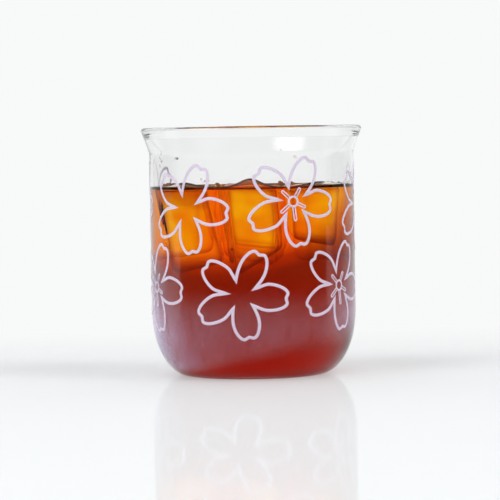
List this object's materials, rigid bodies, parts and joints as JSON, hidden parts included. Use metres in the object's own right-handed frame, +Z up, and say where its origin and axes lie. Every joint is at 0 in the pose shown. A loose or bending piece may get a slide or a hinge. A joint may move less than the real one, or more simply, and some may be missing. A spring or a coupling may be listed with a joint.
{
  "type": "flared coffee glass",
  "caption": "Clear blown tumbler with a rounded lower corner and a short flared lip, printed with blossom outlines and holding iced coffee with floating ice.",
  "frame": {"origin": "centre of the flat foot, on the surface that the glass stands on", "axes": "+Z up along the glass's axis, -Y towards the viewer of the picture"},
  "size_m": [0.08, 0.08, 0.0897],
  "materials": {
    "borosilicate_glass": "polished",
    "iced_coffee": "polished",
    "ice": "polished",
    "enamel_print": "satin"
  },
  "bodies": {
    "glass": {"glass_body": "borosilicate_glass", "coffee": "iced_coffee", "blossom_lower_1": "enamel_print", "blossom_lower_2": "enamel_print", "blossom_lower_3": "enamel_print", "blossom_lower_4": "enamel_print", "blossom_lower_5": "enamel_print", "blossom_upper_1": "enamel_print", "blossom_upper_2": "enamel_print", "blossom_upper_3": "enamel_print", "blossom_upper_4": "enamel_print", "stamens_lower_2": "enamel_print", "stamens_lower_4": "enamel_print", "stamens_upper_1": "enamel_print", "stamens_upper_3": "enamel_print"},
    "ice_block_1": {"ice_block_1": "ice"},
    "ice_block_2": {"ice_block_2": "ice"},
    "ice_block_3": {"ice_block_3": "ice"},
    "ice_block_4": {"ice_block_4": "ice"},
    "ice_block_5": {"ice_block_5": "ice"},
    "ice_block_6": {"ice_block_6": "ice"},
    "ice_block_7": {"ice_block_7": "ice"}
  },
  "joints": [
    {"name": "ice_bob_1", "type": "slide", "parent": "glass", "child": "ice_block_1", "axis": [0, 0, 1], "range_m": [-0.002, 0.002], "stiffness_N_per_m": 2.5, "springref_m": 0.02034, "deforming": ["coffee"]},
    {"name": "ice_bob_2", "type": "slide", "parent": "glass", "child": "ice_block_2", "axis": [0, 0, 1], "range_m": [-0.002, 0.002], "stiffness_N_per_m": 2.5, "springref_m": 0.02153, "deforming": ["coffee"]},
    {"name": "ice_bob_3", "type": "slide", "parent": "glass", "child": "ice_block_3", "axis": [0, 0, 1], "range_m": [-0.002, 0.002], "stiffness_N_per_m": 2.5, "springref_m": 0.01386, "deforming": ["coffee"]},
    {"name": "ice_bob_4", "type": "slide", "parent": "glass", "child": "ice_block_4", "axis": [0, 0, 1], "range_m": [-0.002, 0.002], "stiffness_N_per_m": 2.5, "springref_m": 0.01926, "deforming": ["coffee"]},
    {"name": "ice_bob_5", "type": "slide", "parent": "glass", "child": "ice_block_5", "axis": [0, 0, 1], "range_m": [-0.002, 0.002], "stiffness_N_per_m": 2.5, "springref_m": 0.0192, "deforming": ["coffee"]},
    {"name": "ice_bob_6", "type": "slide", "parent": "glass", "child": "ice_block_6", "axis": [0, 0, 1], "range_m": [-0.002, 0.002], "stiffness_N_per_m": 2.5, "springref_m": 0.02065, "deforming": ["coffee"]},
    {"name": "ice_bob_7", "type": "slide", "parent": "glass", "child": "ice_block_7", "axis": [0, 0, 1], "range_m": [-0.002, 0.002], "stiffness_N_per_m": 2.5, "springref_m": 0.01647, "deforming": ["coffee"]}
  ]
}
